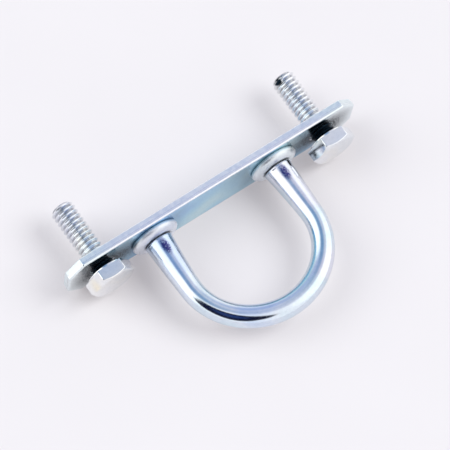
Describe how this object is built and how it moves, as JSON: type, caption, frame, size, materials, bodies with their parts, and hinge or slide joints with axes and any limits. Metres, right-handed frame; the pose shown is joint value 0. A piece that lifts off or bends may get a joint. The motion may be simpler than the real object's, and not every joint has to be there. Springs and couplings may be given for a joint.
{
  "type": "pad eye",
  "caption": "Pad eye: a flat bar plate with cut corners, a U-shaped round bar eye riveted over domed collars, and hex bolts through its ends.",
  "frame": {"origin": "centre of the base plate's back face, the face that lies against what the pad eye is bolted to", "axes": "+X along the plate, +Y out of the back face, the way the bolts' threaded ends point, so the eye reaches towards -Y; +Z across the plate's width"},
  "size_m": [0.086, 0.055, 0.016],
  "materials": {
    "plate_zinc": "bright blue-white zinc plate on rolled bar, softly reflecting",
    "eye_zinc": "bright blue-white zinc plate, nearly mirror-like",
    "collar_zinc": "bright zinc plate on a pressed ring",
    "bolt_zinc": "bright zinc plate on rolled threads and a cold-formed head"
  },
  "bodies": {
    "plate_and_eye": {"base_plate": "plate_zinc", "eye_bar": "eye_zinc", "collar_left": "collar_zinc", "collar_right": "collar_zinc"},
    "bolt_left": {"bolt_left": "bolt_zinc"},
    "bolt_right": {"bolt_right": "bolt_zinc"}
  },
  "joints": [
    {"name": "bolt_left_slide", "type": "slide", "parent": "plate_and_eye", "child": "bolt_left", "axis": [0, 1, 0], "range_m": [-0.016, 0.0015]},
    {"name": "bolt_right_slide", "type": "slide", "parent": "plate_and_eye", "child": "bolt_right", "axis": [0, 1, 0], "range_m": [-0.0151, 0.0024]}
  ]
}
